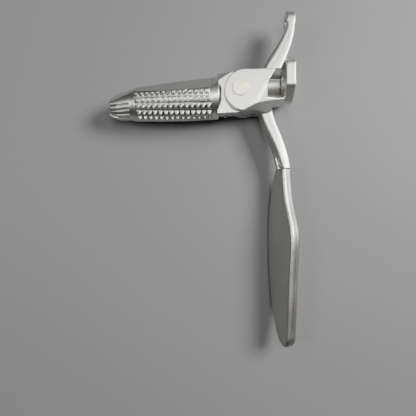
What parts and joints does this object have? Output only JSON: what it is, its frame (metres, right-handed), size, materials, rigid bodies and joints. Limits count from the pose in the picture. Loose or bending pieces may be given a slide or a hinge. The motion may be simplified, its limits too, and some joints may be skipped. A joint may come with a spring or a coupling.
{
  "type": "folding foot peg bracket",
  "caption": "Cast folding foot peg with a studded tread, hinged in the clevis of a two-armed hanger with a bolting flange, a bolt pocket and a leaf-shaped heel plate.",
  "frame": {"origin": "centre of the flange's bearing face, on the axis of the mounting bolt", "axes": "+X out of the bearing face, +Y towards the upper arm and away from the heel plate, +Z along the hinge pin towards its head"},
  "size_m": [0.1342, 0.237, 0.0333],
  "materials": {
    "cast_aluminium_hanger": "bead blasted cast aluminium, satin",
    "cast_aluminium_plate": "bead blasted cast aluminium, satin",
    "cast_aluminium_peg": "bead blasted cast aluminium, satin, edges rubbed bright",
    "passivated_steel": "pale yellow passivated steel, turned",
    "zinc_steel": "zinc plated steel",
    "spring_steel": "dark oiled spring steel",
    "bronze": "sintered bronze",
    "copper_flashed_steel": "copper flashed steel sheet",
    "ball_steel": "polished ball steel"
  },
  "bodies": {
    "hanger": {"hanger": "cast_aluminium_hanger", "heel_plate": "cast_aluminium_plate", "heel_plate_screws": "zinc_steel", "hinge_pin": "passivated_steel", "pin_washer": "zinc_steel", "pin_circlip": "spring_steel", "detent_plate": "copper_flashed_steel"},
    "foot_peg": {"foot_peg": "cast_aluminium_peg", "peg_bush_lower": "bronze", "peg_bush_upper": "bronze", "wave_washer": "spring_steel", "detent_spring": "spring_steel", "plug_ball": "ball_steel"},
    "detent_ball": {"detent_ball": "ball_steel"}
  },
  "joints": [
    {"name": "peg_fold", "type": "hinge", "parent": "hanger", "child": "foot_peg", "pos_m": [-0.038, -0.008, 0], "axis": [0, 0, 1], "range_deg": [-80, 0]},
    {"name": "ball_press", "type": "slide", "parent": "foot_peg", "child": "detent_ball", "axis": [0, 0, 1], "range_m": [0, 0.0009], "stiffness_N_per_m": 1500, "springref_m": -0.002, "deforming": ["detent_spring"]}
  ]
}
